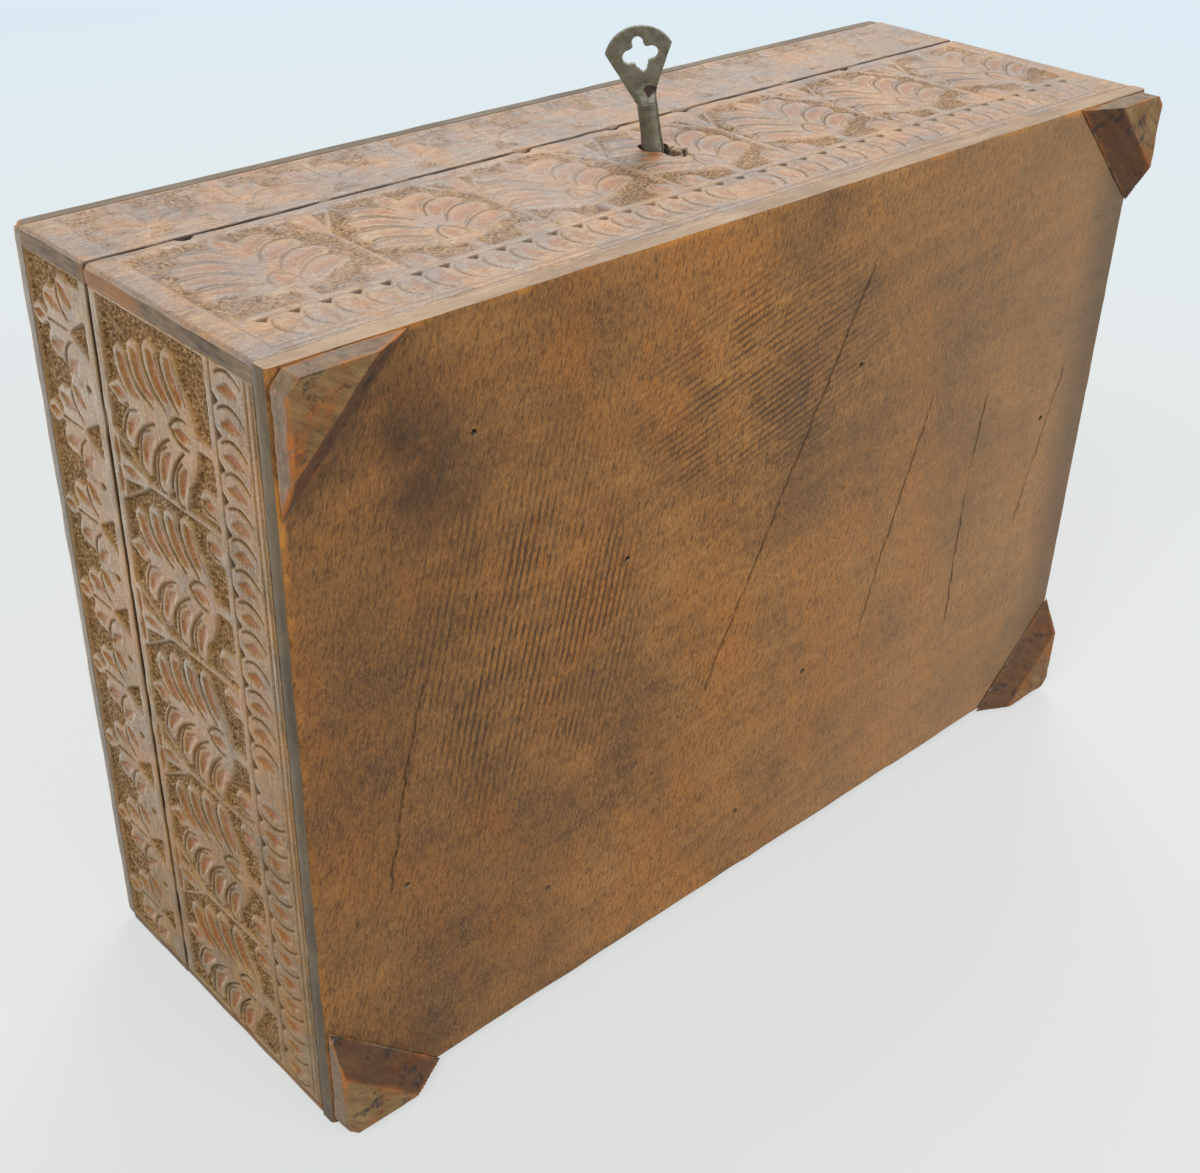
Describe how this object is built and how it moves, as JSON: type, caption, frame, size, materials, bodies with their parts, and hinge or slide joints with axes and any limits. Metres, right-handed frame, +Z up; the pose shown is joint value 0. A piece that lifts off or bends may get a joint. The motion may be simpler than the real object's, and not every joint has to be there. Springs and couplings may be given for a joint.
{
  "type": "storage box",
  "caption": "Hand-carved wooden storage box with a deep hinged lid, bracket feet, a hidden lock and a small key with a pierced bow.",
  "frame": {"origin": "centre of the box's footprint, level with the undersides of the feet", "axes": "+Z up; +X to the right seen from the front, along the length; the front with the keyhole faces -Y"},
  "size_m": [0.3, 0.2415, 0.1117],
  "materials": {
    "carved_wood": "carved walnut-like hardwood, rubbed and worn to a low sheen",
    "plain_wood": "planed hardwood, golden brown, worn at the edges",
    "iron_brads": "dull dark iron",
    "hinge_brass": "tarnished brass",
    "lock_iron": "dark sheet iron, filed",
    "key_steel": "dull grey sheet iron with rust at the neck"
  },
  "bodies": {
    "box": {"front_wall": "carved_wood", "back_wall": "carved_wood", "left_wall": "carved_wood", "right_wall": "carved_wood", "bottom_board": "plain_wood", "foot_front_left": "plain_wood", "foot_front_right": "plain_wood", "foot_back_right": "plain_wood", "foot_back_left": "plain_wood", "wall_brads": "iron_brads", "bottom_brads": "iron_brads", "foot_brads": "iron_brads", "hinge_left_lower_leaf": "hinge_brass", "hinge_right_lower_leaf": "hinge_brass", "hinge_left_pin": "hinge_brass", "hinge_right_pin": "hinge_brass", "hinge_lower_screws": "hinge_brass", "lock_plate": "lock_iron", "lock_case": "lock_iron", "lock_guide_pins": "lock_iron", "lock_spring": "lock_iron", "lock_drill_pin": "lock_iron", "lock_screws": "lock_iron"},
    "lid": {"lid_top": "plain_wood", "lid_front_rail": "carved_wood", "lid_back_rail": "carved_wood", "lid_left_rail": "carved_wood", "lid_right_rail": "carved_wood", "lid_rail_brads": "iron_brads", "lid_top_brads": "iron_brads", "hinge_left_upper_leaf": "hinge_brass", "hinge_right_upper_leaf": "hinge_brass", "hinge_upper_screws": "hinge_brass", "striker": "lock_iron", "striker_screws": "lock_iron"},
    "key": {"key_shank": "key_steel", "key_bit": "key_steel", "key_bow": "key_steel"},
    "bolt": {"lock_bolt": "lock_iron"}
  },
  "joints": [
    {"name": "lid_hinge", "type": "hinge", "parent": "box", "child": "lid", "pos_m": [0, 0.1048, 0.07605], "axis": [-1, 0, 0], "range_deg": [0, 100]},
    {"name": "key_turn", "type": "hinge", "parent": "box", "child": "key", "pos_m": [0, -0.104, 0.0574], "axis": [0, 1, 0], "range_deg": [0, 99]},
    {"name": "bolt_slide", "type": "slide", "parent": "box", "child": "bolt", "axis": [1, 0, 0], "range_m": [0, 0.00998]}
  ],
  "couplings": [
    {"joint": "key_turn", "follows": "bolt_slide", "rad_per_m": 173}
  ]
}
